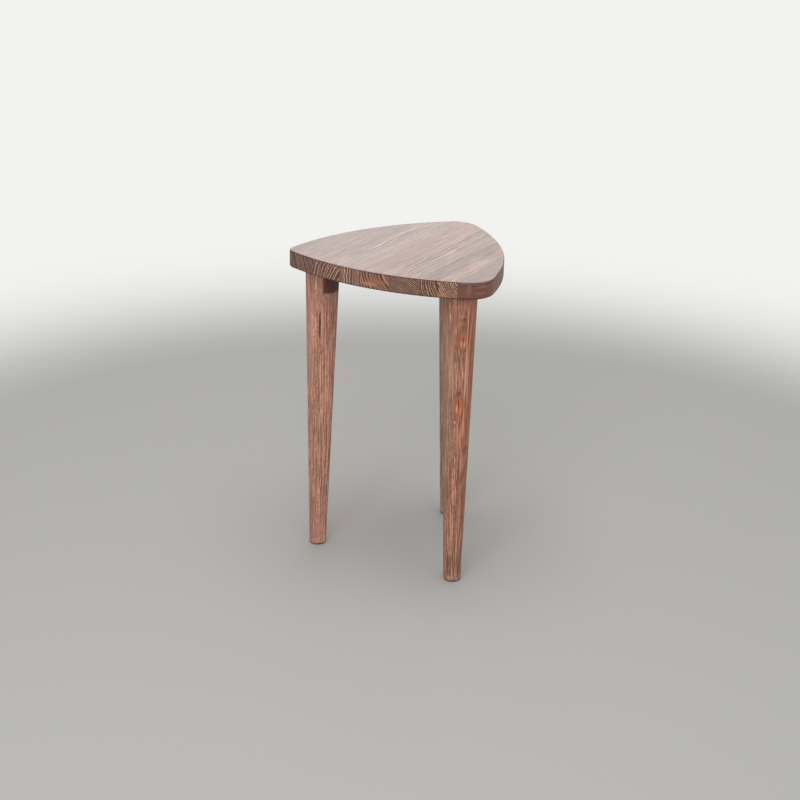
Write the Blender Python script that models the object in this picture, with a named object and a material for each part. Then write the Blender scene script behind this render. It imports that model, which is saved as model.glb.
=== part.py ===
"""Three-legged drink table with a plectrum-shaped top.

Eight edge-glued staves make the top. Each leg is a turned cone whose level head butts against the
underside, held by a hanger bolt that screws up into a flanged insert. Metres, +Z up, grain along Y.
The origin is on the floor, under the middle of the top's outline box.
"""

import math

import bmesh
import bpy
from mathutils import Matrix, Vector

# Whole table
TABLE_HEIGHT = 0.483
FIT_GAP = 0.0003

# Top: a rounded triangle whose corners overhang the leg circle, the left one drawn out into a tip
TOP_THICKNESS = 0.026
TOP_EDGE_ROUND = 0.0025
TOP_TURN = math.radians(2.75)
TIP_OVERHANG = 0.049
TIP_RADIUS = 0.0205
BLUNT_OVERHANG = 0.048
BLUNT_RADIUS = 0.038
SIDE_BOW_RADIUS = 0.373

# Widths of the staves, left to right, each as a share of the top's whole width
STAVE_WIDTH_SHARES = (0.184, 0.155, 0.117, 0.136, 0.144, 0.079, 0.080, 0.105)

# Legs: straight cones, splayed a little, cut level at both ends
LEG_CIRCLE_RADIUS = 0.1345
LEG_SPLAY = math.radians(0.65)
LEG_HEAD_DIAMETER = 0.0515
LEG_FOOT_DIAMETER = 0.026
LEG_HEAD_EASE = 0.0006
LEG_FOOT_ROUND = 0.003

# Hanger bolt: a wood screw in the leg, a machine screw in the insert
BOLT_DIAMETER = 0.008
BOLT_IN_LEG = 0.036
BOLT_IN_TOP = 0.018
BOLT_POINT_LENGTH = 0.008
BOLT_POINT_DIAMETER = 0.002
BOLT_WAIST_DIAMETER = 0.0066
BOLT_COLLAR_LENGTH = 0.005
BOLT_CHAMFER = 0.0008

# Threaded insert: barrel, flange and hexagon socket
INSERT_DIAMETER = 0.0125
INSERT_LENGTH = 0.020
INSERT_CHAMFER = 0.0008
FLANGE_DIAMETER = 0.016
FLANGE_THICKNESS = 0.0014
SOCKET_ACROSS_FLATS = 0.0092
SOCKET_DEPTH = 0.005

# Facets
SIDE_STEPS = 20
CORNER_STEPS = 14
EDGE_STEPS = 4
LEG_SIDES = 48
FOOT_STEPS = 4
TURNED_SIDES = 24
SMOOTH_ANGLE = math.radians(30)
CUT_OVERRUN = 0.002

# Directions of the legs around the leg circle, anticlockwise from +X
LEG_DIRECTIONS = {
    "back": math.radians(90),
    "left": math.radians(210),
    "right": math.radians(330),
}

# Colours of the stained wood and of the plated steel, sRGB
STAVE_COLOURS = ("#8f7166", "#8a6c60", "#937569", "#96705f", "#8c6d60", "#86675a", "#8f6e60", "#845f52")
LEG_COLOURS = {"back": "#85604f", "left": "#9a7361", "right": "#96654f"}
BOLT_COLOUR = "#b9b6b0"
INSERT_COLOUR = "#a7a499"
WOOD_ROUGHNESS = 0.55
STEEL_ROUGHNESS = 0.35

# Sizes that follow from those above
UNDERSIDE = TABLE_HEIGHT - TOP_THICKNESS
LEG_LENGTH = UNDERSIDE - FIT_GAP


def linear_colour(hex_colour):
    """Turn an sRGB hex colour into the linear RGBA that a shader takes."""
    channels = [int(hex_colour[i:i + 2], 16) / 255 for i in (1, 3, 5)]
    linear = [c / 12.92 if c <= 0.04045 else ((c + 0.055) / 1.055) ** 2.4 for c in channels]
    return (*linear, 1.0)


def add_material(obj, hex_colour, roughness, metallic=0.0):
    """Give an object its own material."""
    material = bpy.data.materials.new(obj.name)
    material.use_nodes = True
    shader = material.node_tree.nodes["Principled BSDF"]
    shader.inputs["Base Color"].default_value = linear_colour(hex_colour)
    shader.inputs["Roughness"].default_value = roughness
    shader.inputs["Metallic"].default_value = metallic
    material.diffuse_color = linear_colour(hex_colour)
    obj.data.materials.append(material)


def add_object(name, mesh, parent, location=(0, 0, 0), turn=0.0):
    """Link a mesh into the scene under its parent, at its seat."""
    obj = bpy.data.objects.new(name, mesh)
    bpy.context.collection.objects.link(obj)
    obj.parent = parent
    obj.location = location
    obj.rotation_euler.z = turn
    return obj


def finish_mesh(name, bm):
    """Write a bmesh to a mesh whose round parts are smooth and whose arrises are sharp."""
    bmesh.ops.recalc_face_normals(bm, faces=bm.faces)
    mesh = bpy.data.meshes.new(name)
    bm.to_mesh(mesh)
    bm.free()
    mesh.shade_smooth()
    mesh.set_sharp_from_angle(angle=SMOOTH_ANGLE)
    return mesh


def around(direction, radius):
    """A point on the floor plan, at a direction and a distance from the leg circle's centre."""
    return Vector((math.cos(direction), math.sin(direction))) * radius


def top_corners():
    """Centre and radius of the three corner circles, anticlockwise from the back."""
    corners = []
    for name, direction in LEG_DIRECTIONS.items():
        overhang, radius = BLUNT_OVERHANG, BLUNT_RADIUS
        if name == "left":
            overhang, radius = TIP_OVERHANG, TIP_RADIUS
        reach = LEG_CIRCLE_RADIUS + overhang
        corners.append((around(direction + TOP_TURN, reach - radius), radius))
    return corners


def bow_centre(start, end, bow_radius):
    """Centre of the arc that touches two corner circles from outside and bows between them."""
    (start_centre, start_radius), (end_centre, end_radius) = start, end
    chord = end_centre - start_centre
    to_start = bow_radius - start_radius
    to_end = bow_radius - end_radius
    along = (to_start ** 2 - to_end ** 2 + chord.length_squared) / (2 * chord.length)
    inward = math.sqrt(to_start ** 2 - along ** 2)
    unit = chord.normalized()
    return start_centre + unit * along + Vector((-unit.y, unit.x)) * inward


def arc_points(centre, radius, from_centre, to_centre, steps):
    """Points on an arc, anticlockwise from one radial direction to the next, without the last."""
    start = math.atan2(from_centre.y, from_centre.x)
    sweep = (math.atan2(to_centre.y, to_centre.x) - start) % math.tau
    return [centre + around(start + sweep * i / steps, radius) for i in range(steps)]


def top_outline():
    """The top's outline: three corner arcs joined by three bowed sides, each tangent to the next."""
    corners = top_corners()
    centres = [bow_centre(corners[i], corners[(i + 1) % 3], SIDE_BOW_RADIUS) for i in range(3)]
    points = []
    for i in range(3):
        centre, radius = corners[i]
        next_centre = corners[(i + 1) % 3][0]
        points += arc_points(centre, radius, centre - centres[i - 1], centre - centres[i], CORNER_STEPS)
        points += arc_points(centres[i], SIDE_BOW_RADIUS, centre - centres[i], next_centre - centres[i],
                             SIDE_STEPS)
    return points


def outline_box(points):
    """Lowest and highest corner of a set of plan points."""
    xs = [p.x for p in points]
    ys = [p.y for p in points]
    return Vector((min(xs), min(ys))), Vector((max(xs), max(ys)))


def slab_mesh(points):
    """The whole top as one slab, its rim rounded above and below."""
    bm = bmesh.new()
    plan = bm.faces.new([bm.verts.new((p.x, p.y, 0)) for p in points])
    grown = bmesh.ops.extrude_face_region(bm, geom=[plan])
    lifted = [v for v in grown["geom"] if isinstance(v, bmesh.types.BMVert)]
    bmesh.ops.translate(bm, vec=(0, 0, TOP_THICKNESS), verts=lifted)
    bmesh.ops.recalc_face_normals(bm, faces=bm.faces)
    rim = [e for e in bm.edges if abs(e.verts[0].co.z - e.verts[1].co.z) < FIT_GAP]
    bmesh.ops.bevel(bm, geom=rim, offset=TOP_EDGE_ROUND, segments=EDGE_STEPS, profile=0.5, affect="EDGES")
    return bm


def cut_slab(bm, x, side):
    """Saw the slab square to X, keep what lies on the other side and close the sawn face."""
    geom = bm.verts[:] + bm.edges[:] + bm.faces[:]
    cut = bmesh.ops.bisect_plane(bm, geom=geom, plane_co=(x, 0, 0), plane_no=(side, 0, 0), clear_outer=True)
    sawn = [e for e in cut["geom_cut"] if isinstance(e, bmesh.types.BMEdge)]
    bmesh.ops.edgeloop_fill(bm, edges=sawn)


def glue_lines(points):
    """X of each glue line between two staves, left to right."""
    low, high = outline_box(points)
    shares = [sum(STAVE_WIDTH_SHARES[:i]) for i in range(1, len(STAVE_WIDTH_SHARES))]
    return [low.x + (high.x - low.x) * share / sum(STAVE_WIDTH_SHARES) for share in shares]


def turned_mesh(name, profile):
    """Spin a profile of (radius, height) pairs, which starts and ends on the axis or closes on itself."""
    bm = bmesh.new()
    verts = [bm.verts.new((radius, 0, height)) for radius, height in profile]
    edges = [bm.edges.new(pair) for pair in zip(verts, verts[1:])]
    if profile[0][0] > 0:
        edges.append(bm.edges.new((verts[-1], verts[0])))
    bmesh.ops.spin(bm, geom=verts + edges, axis=(0, 0, 1), cent=(0, 0, 0),
                   angle=math.tau, steps=TURNED_SIDES, use_duplicate=False)
    bmesh.ops.remove_doubles(bm, verts=bm.verts, dist=FIT_GAP / 10)
    return finish_mesh(name, bm)


def add_cutter(name, mesh, parent, location):
    """A shape that only cuts others: hidden from the render and drawn as wire."""
    cutter = add_object(name, mesh, parent, location)
    cutter.hide_render = True
    cutter.display_type = "WIRE"
    return cutter


def cut_with(obj, cutter):
    """Take a cutter's shape out of an object."""
    cut = obj.modifiers.new(cutter.name, "BOOLEAN")
    cut.operation = "DIFFERENCE"
    cut.object = cutter


def insert_recess_mesh():
    """The stepped hole for an insert, a fit gap larger all round and open below the underside."""
    barrel = INSERT_DIAMETER / 2 + FIT_GAP
    flange = FLANGE_DIAMETER / 2 + FIT_GAP
    step = FLANGE_THICKNESS + FIT_GAP
    depth = INSERT_LENGTH + FIT_GAP
    return turned_mesh("insert_recess", [
        (0, depth), (barrel, depth), (barrel, step), (flange, step), (flange, -CUT_OVERRUN), (0, -CUT_OVERRUN),
    ])


def insert_mesh():
    """The insert: a chamfered barrel over a flange, with a plain bore right through."""
    bore = BOLT_DIAMETER / 2 + FIT_GAP
    barrel = INSERT_DIAMETER / 2
    return turned_mesh("threaded_insert", [
        (bore, 0), (FLANGE_DIAMETER / 2, 0), (FLANGE_DIAMETER / 2, FLANGE_THICKNESS),
        (barrel, FLANGE_THICKNESS), (barrel, INSERT_LENGTH - INSERT_CHAMFER),
        (barrel - INSERT_CHAMFER, INSERT_LENGTH), (bore, INSERT_LENGTH),
    ])


def socket_mesh():
    """The hexagon socket in the insert's mouth, as a cutter."""
    bm = bmesh.new()
    corner = SOCKET_ACROSS_FLATS / 2 / math.cos(math.radians(30))
    height = SOCKET_DEPTH + CUT_OVERRUN
    centre = Matrix.Translation((0, 0, (SOCKET_DEPTH - CUT_OVERRUN) / 2))
    bmesh.ops.create_cone(bm, cap_ends=True, segments=6, radius1=corner, radius2=corner,
                          depth=height, matrix=centre)
    return finish_mesh("hexagon_socket", bm)


def bolt_mesh():
    """The hanger bolt: pointed screw below, plain collar at the joint, machine screw above."""
    radius = BOLT_DIAMETER / 2
    waist = BOLT_WAIST_DIAMETER / 2
    collar = BOLT_COLLAR_LENGTH / 2
    return turned_mesh("hanger_bolt", [
        (0, -BOLT_IN_LEG), (BOLT_POINT_DIAMETER / 2, -BOLT_IN_LEG),
        (waist, -BOLT_IN_LEG + BOLT_POINT_LENGTH), (waist, -collar), (radius, -collar),
        (radius, BOLT_IN_TOP - BOLT_CHAMFER), (radius - BOLT_CHAMFER, BOLT_IN_TOP), (0, BOLT_IN_TOP),
    ])


def leg_ring(bm, radius, height, lean=0.0):
    """One level ring of a leg, moved outward by the splay below the head."""
    centre = Vector((-height * lean, 0, height))
    turns = [math.tau * i / LEG_SIDES for i in range(LEG_SIDES)]
    return [bm.verts.new(centre + around(turn, radius).to_3d()) for turn in turns]


def skin_rings(bm, lower, upper):
    """Join two rings with a band of quads."""
    for i in range(LEG_SIDES):
        bm.faces.new((lower[i - 1], lower[i], upper[i], upper[i - 1]))


def leg_mesh():
    """A leg, from the rounded foot up the taper, over the head and down into the bolt's bore."""
    head = LEG_HEAD_DIAMETER / 2
    foot = LEG_FOOT_DIAMETER / 2
    lean = math.tan(LEG_SPLAY)
    bore = BOLT_DIAMETER / 2 + FIT_GAP
    bore_depth = BOLT_IN_LEG + FIT_GAP
    taper = (head - foot) / LEG_LENGTH
    bm = bmesh.new()
    rings = []
    for i in range(FOOT_STEPS + 1):
        turn = math.pi / 2 * i / FOOT_STEPS
        rise = LEG_FOOT_ROUND * (1 - math.cos(turn))
        inset = LEG_FOOT_ROUND * (1 - math.sin(turn))
        rings.append(leg_ring(bm, foot + taper * rise - inset, rise - LEG_LENGTH, lean))
    rings.append(leg_ring(bm, head - taper * LEG_HEAD_EASE, -LEG_HEAD_EASE, lean))
    rings.append(leg_ring(bm, head - LEG_HEAD_EASE, 0))
    rings.append(leg_ring(bm, bore, 0))
    rings.append(leg_ring(bm, bore, -bore_depth))
    for lower, upper in zip(rings, rings[1:]):
        skin_rings(bm, lower, upper)
    bm.faces.new(rings[0])
    bm.faces.new(rings[-1])
    return finish_mesh("leg", bm)


def build_top(table, shift):
    """The eight staves, each sawn from the rounded slab and cut by the insert recesses."""
    points = top_outline()
    low, high = outline_box(points)
    lines = [low.x - CUT_OVERRUN, *glue_lines(points), high.x + CUT_OVERRUN]
    recess = insert_recess_mesh()
    recesses = []
    for name, direction in LEG_DIRECTIONS.items():
        seat = around(direction, LEG_CIRCLE_RADIUS) + shift
        recesses.append(add_cutter("recess_" + name, recess, table, (*seat, UNDERSIDE)))
    for i, (left, right) in enumerate(zip(lines, lines[1:])):
        bm = slab_mesh(points)
        cut_slab(bm, left + FIT_GAP / 2, -1)
        cut_slab(bm, right - FIT_GAP / 2, 1)
        name = f"top_stave_{i + 1}"
        stave = add_object(name, finish_mesh(name, bm), table, (*shift, UNDERSIDE))
        add_material(stave, STAVE_COLOURS[i % len(STAVE_COLOURS)], WOOD_ROUGHNESS)
        for cutter in recesses:
            reach = FLANGE_DIAMETER / 2 + FIT_GAP
            centre = cutter.location.x - shift.x
            if left < centre + reach and centre - reach < right:
                cut_with(stave, cutter)


def build_legs(table, shift):
    """Each leg with its bolt and its insert, around the leg circle."""
    leg, bolt, insert, socket = leg_mesh(), bolt_mesh(), insert_mesh(), socket_mesh()
    for name, direction in LEG_DIRECTIONS.items():
        seat = around(direction, LEG_CIRCLE_RADIUS) + shift
        legged = add_object("leg_" + name, leg.copy(), table, (*seat, LEG_LENGTH), direction)
        add_material(legged, LEG_COLOURS[name], WOOD_ROUGHNESS)
        bolted = add_object("hanger_bolt_" + name, bolt.copy(), table, (*seat, LEG_LENGTH))
        add_material(bolted, BOLT_COLOUR, STEEL_ROUGHNESS, 1.0)
        inserted = add_object("threaded_insert_" + name, insert.copy(), table, (*seat, UNDERSIDE))
        add_material(inserted, INSERT_COLOUR, STEEL_ROUGHNESS, 1.0)
        cut_with(inserted, add_cutter("socket_" + name, socket, table, (*seat, UNDERSIDE)))


def build_table():
    """Clear the scene and build the table over the origin."""
    for obj in list(bpy.data.objects):
        bpy.data.objects.remove(obj)
    table = bpy.data.objects.new("drink_table", None)
    bpy.context.collection.objects.link(table)
    low, high = outline_box(top_outline())
    shift = -(low + high) / 2
    build_top(table, shift)
    build_legs(table, shift)
    bpy.context.view_layer.update()


build_table()
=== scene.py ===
"""Looks of a drink table: eight glued fir staves make a plectrum-shaped top on three turned legs.

Lengths are metres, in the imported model's frame: +Z up, the staves' grain along Y. Wood figure is
written in millimetres, because that is how rings, fibres and knots are measured.
"""

import math

import bmesh
import bpy
import numpy as np
from mathutils import Matrix, Vector


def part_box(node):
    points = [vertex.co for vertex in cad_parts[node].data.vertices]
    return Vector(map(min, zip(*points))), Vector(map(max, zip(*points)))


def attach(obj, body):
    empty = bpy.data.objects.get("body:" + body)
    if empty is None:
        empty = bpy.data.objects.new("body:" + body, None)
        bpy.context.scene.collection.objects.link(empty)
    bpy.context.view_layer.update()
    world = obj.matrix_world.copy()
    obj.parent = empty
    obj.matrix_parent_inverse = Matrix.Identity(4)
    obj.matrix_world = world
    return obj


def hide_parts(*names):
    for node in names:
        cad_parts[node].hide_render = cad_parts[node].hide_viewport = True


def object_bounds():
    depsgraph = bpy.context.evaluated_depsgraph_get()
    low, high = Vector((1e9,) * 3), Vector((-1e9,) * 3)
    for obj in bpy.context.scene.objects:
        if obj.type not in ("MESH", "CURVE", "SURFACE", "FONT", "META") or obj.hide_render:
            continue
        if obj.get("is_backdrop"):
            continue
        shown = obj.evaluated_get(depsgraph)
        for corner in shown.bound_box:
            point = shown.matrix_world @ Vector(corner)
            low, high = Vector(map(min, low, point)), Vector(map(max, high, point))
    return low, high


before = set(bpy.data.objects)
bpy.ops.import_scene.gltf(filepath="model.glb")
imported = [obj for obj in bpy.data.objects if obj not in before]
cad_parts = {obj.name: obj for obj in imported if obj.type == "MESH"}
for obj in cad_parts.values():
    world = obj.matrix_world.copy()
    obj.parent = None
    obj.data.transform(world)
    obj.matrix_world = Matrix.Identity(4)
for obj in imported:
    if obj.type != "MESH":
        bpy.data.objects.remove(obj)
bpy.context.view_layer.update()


# Top staves
# Eight fir laths from different planks, edge-glued into one slab and cut to a plectrum outline.
# Both rims are rounded over. The faces are wire-brushed along the grain, which leaves shallow grooves,
# then stained a greyed brown and finished in a satin oil.

TOP_EDGE_ROUND = 0.0025
TOP_TURN = math.radians(2.75)
TIP_OVERHANG = 0.049
TIP_RADIUS = 0.0205
BLUNT_OVERHANG = 0.048
BLUNT_RADIUS = 0.038
SIDE_BOW_RADIUS = 0.373
LEG_DIRECTIONS = {"back": math.radians(90), "left": math.radians(210), "right": math.radians(330)}

GLUE_LINE = 0.00006
OUTLINE_STEP = 0.0003
COLUMN_STEP = 0.0006
ROW_STEP = 0.0026
EDGE_STEP = 0.0009
ROUND_STEPS = 5
GLUE_LINE_REACH = 0.008
MERGE = 0.000002
MM = 0.001
PER_METRE = 1000

TOP_BRUSH_DEPTH = 0.0001
# Radius and depth of the recess for an insert's flange and of the hole for its body
INSERT_BORES = ((0.0082, 0.0016), (0.0065, 0.0202))
BORE_SIDES = 48
DRILL_START = 0.001
SMOOTH_ANGLE = math.radians(40)

# Each stave's wood: the heart of its tree as (x, height) and the rings' spacing in mm, how far the heart
# runs out of line along the grain, how strongly the rings show on the faces, how streaky the stain took,
# a seed, the stain's colours on the soft and the hard ring, and what differs from TOP_FINISH. A mark is a
# row of its place and its half width, length and depth in mm, its colour and its amount. Its options are
# the share of it at full strength, how far in mm the rings part round it, and a crisp edge
STAVE_WOODS = (
    {"heart": (14, 527), "spacing": 3.5, "run_out": (0.020, -0.012), "figure": 0.45, "streaky": 0.8,
     "seed": 1.3, "rim_tone": 0.78, "soft": "#7e635b", "hard": "#d2b4a7", "marks": (
         ((-80, 20, 483), (5, 130, 9), "#57403a", 0.35),
         # Painted shade: this darker patch over the left tip stands in for the tip turning away from the
         # light
         ((-160, -88, 470), (30, 60, 60), "#5d4137", 0.25))},
    {"heart": (-15, 439), "spacing": 4.2, "run_out": (-0.012, 0.010), "figure": 0.6, "streaky": 1.1,
     "seed": 4.1, "soft": "#7d6057", "hard": "#d5b5a6", "marks": (
         ((-79, 0, 483), (7, 150, 9), "#54403a", 0.30),)},
    {"heart": (72, 463), "spacing": 3.7, "run_out": (0.006, 0.014), "figure": 0.30, "streaky": 0.7,
     "seed": 7.7, "soft": "#866c63", "hard": "#dcbaa9", "marks": (
         ((-28, 57, 483), (14, 34, 8), "#9a7f72", 0.35, {"push": 6.0}),
         ((-25, 73, 483), (9, 2.4, 4), "#3f2a24", 0.8),
         ((-20, 119, 483), (7, 3, 4), "#5c443b", 0.5),
         ((-47, 10, 483), (2.4, 120, 9), "#57403a", 0.4))},
    {"heart": (58, 490), "spacing": 3.7, "run_out": (0.014, 0.006), "figure": 0.35, "streaky": 0.9,
     "seed": 11.2, "rim_tone": 0.92, "soft": "#836355", "hard": "#dcb5a0", "marks": (
         ((-1, -156, 464.8), (15, 12, 3.4), "#ab7c68", 0.7, {"core": 0.5, "crisp": True}),
         ((9, -156, 469.2), (20, 12, 4.2), "#9a5a3c", 0.76, {"core": 0.5, "push": 2.0, "crisp": True}),
         ((4, 20, 483), (2.6, 130, 9), "#57403a", 0.4))},
    {"heart": (14, 412), "spacing": 2.5, "run_out": (-0.010, -0.006), "figure": 0.5, "streaky": 1.3,
     "seed": 15.9, "soft": "#765a4f", "hard": "#cbaa9a", "marks": (
         ((66, 10, 483), (12, 150, 9), "#a08a70", 0.25),)},
    {"heart": (139, 481), "spacing": 3.2, "run_out": (0.004, -0.006), "figure": 0.55, "streaky": 1.7,
     "seed": 19.4, "rim_tone": 1.2, "soft": "#694c3e", "hard": "#cfaa94", "marks": (
         ((97, -18, 483), (6, 30, 8), "#b39a8a", 0.4),)},
    {"heart": (175, 509), "spacing": 2.6, "run_out": (-0.006, 0.012), "figure": 0.5, "streaky": 1.7,
     "seed": 23.8, "rim_tone": 1.33, "soft": "#775848", "hard": "#dab8a3", "marks": (
         ((112, -30, 483), (9, 45, 8), "#a88c7e", 0.4, {"push": 3.0}),)},
    {"heart": (139, 397), "spacing": 5.0, "run_out": (0.010, 0.004), "figure": 0.35, "end_figure": 0.10,
     "streaky": 1.1, "seed": 28.5, "rim_tone": 0.98, "arris": 1.0, "rim_satin": 0.35, "rim_dull": 0.15,
     "soft": "#785f56", "hard": "#bd9f95", "marks": (
         ((150, -112, 464), (60, 60, 13), "#6b3d2e", 0.6, {"core": 0.8}),
         ((159, -85, 465), (8, 62, 13), "#7c4232", 0.6),
         ((156, -104, 475), (7, 26, 1.5), "#a8745d", 0.5, {"crisp": True}),
         ((156, -104, 471), (7, 30, 1.3), "#4e2a1f", 0.5, {"crisp": True}),
         ((154, -108, 466), (7, 18, 2.2), "#9a5740", 0.5, {"crisp": True}),
         ((156, -100, 461), (7, 30, 1.2), "#4e2a1f", 0.4, {"crisp": True}),
         ((143, -125, 472), (4, 9, 13), "#96644f", 0.35, {"crisp": True}),
         ((158, -97, 482.5), (6, 36, 3.2), "#9a6757", 0.55, {"crisp": True}))},
)
# The top's finish: its grain's centre in mm and end axis, the oil on its faces and rims, how much rougher
# the rims are and the share of the stain's colours there, how dark the arris is and the painted highlight
# above it, how far in mm the rings waver, how flecked it is and how strongly its end grain shows the rings
TOP_FINISH = {
    "centre": (0.0, 0.0, 0.0), "end_axis": "Y", "satin": 1.0, "rim_satin": 0.15, "rim_dull": 0.25,
    "rim_shares": ((0.50, 0.31, 0.24, 1.0), (0.72, 0.64, 0.54, 1.0)), "rim_tone": 1.0, "arris": 0.45,
    "painted_highlight": 0.6, "waver": 4.0, "flecks": 0.25, "end_figure": 1.0,
}

# Patterns along the grain: width and length in mm, and detail
WANDER = (38.0, 150.0, 1.0)
WAVER = (8.0, 45.0, 1.0)
GROOVES = (2.6, 60.0, 1.0)
FIBRES = (1.1, 22.0, 2.0)
CASTS = (5.0, 90.0, 1.0)
BLOTS = (3.5, 9.0, 1.0)
# Layers of stain: the pattern, the part of its range used, how much darker and lighter it makes the wood
# and whether it goes by the streaks or the flecks
STAIN_LAYERS = (
    ((11.0, 170.0, 2.0), (0.30, 0.70), 0.10, 0.12, "streaky"),
    ((1.7, 55.0, 2.0), (0.34, 0.66), 0.18, 0.26, "streaky"),
    ((1.4, 120.0, 1.0), (0.39, 0.46), 0.24, 0.0, "streaky"),
    ((1.5, 6.0, 2.0), (0.34, 0.66), 0.15, 0.18, "flecks"),
    (FIBRES, (0.28, 0.50), 0.26, 0.0, "streaky"),
)
PATTERN_ROUGHNESS = 0.55
PATTERN_MIDDLE = (0.5, 0.5, 0.5)
GROOVED = (0.62, 0.34)
CAST = (0.36, 0.64)
FIBROUS = (0.3, 0.6)

# Rings: their slow wander and the span of one spell of weather in mm, the rings that a spell shifts them
# by, how far a mark pushes them as a share of its size, and the late wood's rise and fall within a ring
WANDER_REACH = 7.0
WEATHER_SPAN = 13.0
WEATHER_SHIFT = 2.2
WEATHER_DETAIL = 2.0
PUSH_REACH = 1.8
LATE_RISE = (0.45, 0.80)
LATE_FALL = (0.90, 1.0)
FAINTEST_RING = 0.55

# Parts of a piece by the direction of its surface, along the grain or upward
END_GRAIN = (0.35, 0.95)
RIM = (0.97, 0.70)
BELOW = (-0.50, -0.06)
ARRIS_FOOT = (0.04, 0.30)
ARRIS_HEAD = (0.70, 0.90)
# Where the painted highlight on the arris rises and fades, by the rise of the surface
HIGHLIGHT_FOOT = (0.75, 0.90)
HIGHLIGHT_HEAD = (0.95, 0.995)

# Marks reach a little past their size; thin or crisp ones are frayed and the others blotched, in mm
MARK_REACH = 1.1
MARK_CORE = 0.35
CHECK_SIDES = (1.0, 0.5)
THIN_MARK = 2.1
FRAYED_EDGE = (2.0, 10.0, 2.0)
BLOTCHED_EDGE = (9.0, 24.0, 9.0)

# Share of the colour kept on faces that look down: painted shade
UNDERSIDE_PAINTED_SHADE = 0.35
# Colour of a painted highlight along the upper arris
ARRIS_HIGHLIGHT_PAINT = "#b9a69d"
REDDER = (1.03, 0.98, 0.98, 1.0)
GREYER = (0.97, 1.02, 1.05, 1.0)
ROUGHNESS = (0.60, 0.46)
RELIEF = 0.08
RELIEF_STRENGTH = 0.8
OIL_IOR = 1.5
OIL_ROUGHNESS = 0.38
SMOOTH = {"interpolation_type": "SMOOTHSTEP"}


def linear_colour(hex_colour):
    """Turn an sRGB hex colour into the linear RGBA that a shader takes."""
    channels = [int(hex_colour[i:i + 2], 16) / 255 for i in (1, 3, 5)]
    linear = [c / 12.92 if c <= 0.04045 else ((c + 0.055) / 1.055) ** 2.4 for c in channels]
    return (*linear, 1.0)


def feed(tree, socket, value):
    """Set a socket to a value, or link it to an output or to a node's first output."""
    if isinstance(value, bpy.types.Node):
        value = next(output for output in value.outputs if output.enabled)
    if isinstance(value, bpy.types.NodeSocket):
        tree.links.new(value, socket)
    else:
        socket.default_value = value


def add_node(tree, kind, inputs=(), operation=None, **settings):
    """Add a node with its operation and settings; inputs come in order, or by name or number."""
    node = tree.nodes.new(kind)
    if operation:
        node.operation = operation
    for name, value in settings.items():
        setattr(node, name, value)
    sockets = [socket for socket in node.inputs if socket.enabled]
    for key, value in inputs.items() if isinstance(inputs, dict) else enumerate(inputs):
        feed(tree, node.inputs[key] if isinstance(key, str) else sockets[key], value)
    return node


def new_material(name):
    """A material, its node tree and the coordinates to draw on it by."""
    material = bpy.data.materials.new(name)
    material.use_nodes = True
    return material, material.node_tree, add_node(material.node_tree, "ShaderNodeTexCoord").outputs


def set_surface(tree, values):
    """Set or link the named inputs of a material's surface shader."""
    for key, value in values.items():
        feed(tree, tree.nodes["Principled BSDF"].inputs[key], value)


def around(direction, radius):
    """A plan vector of a given direction and length."""
    return np.array((math.cos(direction), math.sin(direction))) * radius


def seat_of(name):
    """Plan centre of a leg's hanger bolt."""
    low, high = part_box("hanger_bolt_" + name)
    return np.array(((low.x + high.x) / 2, (low.y + high.y) / 2))


def bow_centre(start, end, bow_radius):
    """Centre of the arc that touches two corner circles and bows out between them."""
    (start_centre, start_radius), (end_centre, end_radius) = start, end
    chord = end_centre - start_centre
    length = math.hypot(*chord)
    to_start = bow_radius - start_radius
    to_end = bow_radius - end_radius
    along = (to_start ** 2 - to_end ** 2 + length ** 2) / (2 * length)
    inward = math.sqrt(to_start ** 2 - along ** 2)
    unit = chord / length
    return start_centre + unit * along + np.array((-unit[1], unit[0])) * inward


seats = {name: seat_of(name) for name in LEG_DIRECTIONS}
plan_centre = sum(seats.values()) / len(seats)
leg_circle_radius = math.hypot(*(seats["back"] - plan_centre))
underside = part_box("top_stave_1")[0].z
top_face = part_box("top_stave_1")[1].z

corners = []
for name, direction in LEG_DIRECTIONS.items():
    overhang, radius = (TIP_OVERHANG, TIP_RADIUS) if name == "left" else (BLUNT_OVERHANG, BLUNT_RADIUS)
    reach = leg_circle_radius + overhang - radius
    corners.append((plan_centre + around(direction + TOP_TURN, reach), radius))
bow_centres = [bow_centre(corners[i], corners[(i + 1) % 3], SIDE_BOW_RADIUS) for i in range(3)]

# The outline, set in by the rounding of the rim, as places and outward directions
places, outwards = [], []
for i, (corner, radius) in enumerate(corners):
    next_corner = corners[(i + 1) % 3][0]
    arcs = (
        (corner, radius, corner - bow_centres[i - 1], corner - bow_centres[i]),
        (bow_centres[i], SIDE_BOW_RADIUS, corner - bow_centres[i], next_corner - bow_centres[i]),
    )
    for centre, arc_radius, from_centre, to_centre in arcs:
        start = math.atan2(from_centre[1], from_centre[0])
        sweep = (math.atan2(to_centre[1], to_centre[0]) - start) % math.tau
        steps = math.ceil(sweep * arc_radius / OUTLINE_STEP)
        for step in range(steps):
            turn = start + sweep * step / steps
            places.append(centre + around(turn, arc_radius - TOP_EDGE_ROUND))
            outwards.append(around(turn, 1))
leftmost = int(np.argmin([p[0] for p in places]))
rim_line = np.roll(np.hstack((places, outwards)), -leftmost, axis=0)
rightmost = int(np.argmax(rim_line[:, 0]))
front_line = rim_line[:rightmost + 1]
back_line = np.vstack((rim_line[rightmost:], rim_line[:1]))[::-1]


def at_x(line, xs):
    """Y and outward direction of a half outline at each x."""
    return [np.interp(xs, line[:, 0], line[:, k]) for k in (1, 2, 3)]


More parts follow.
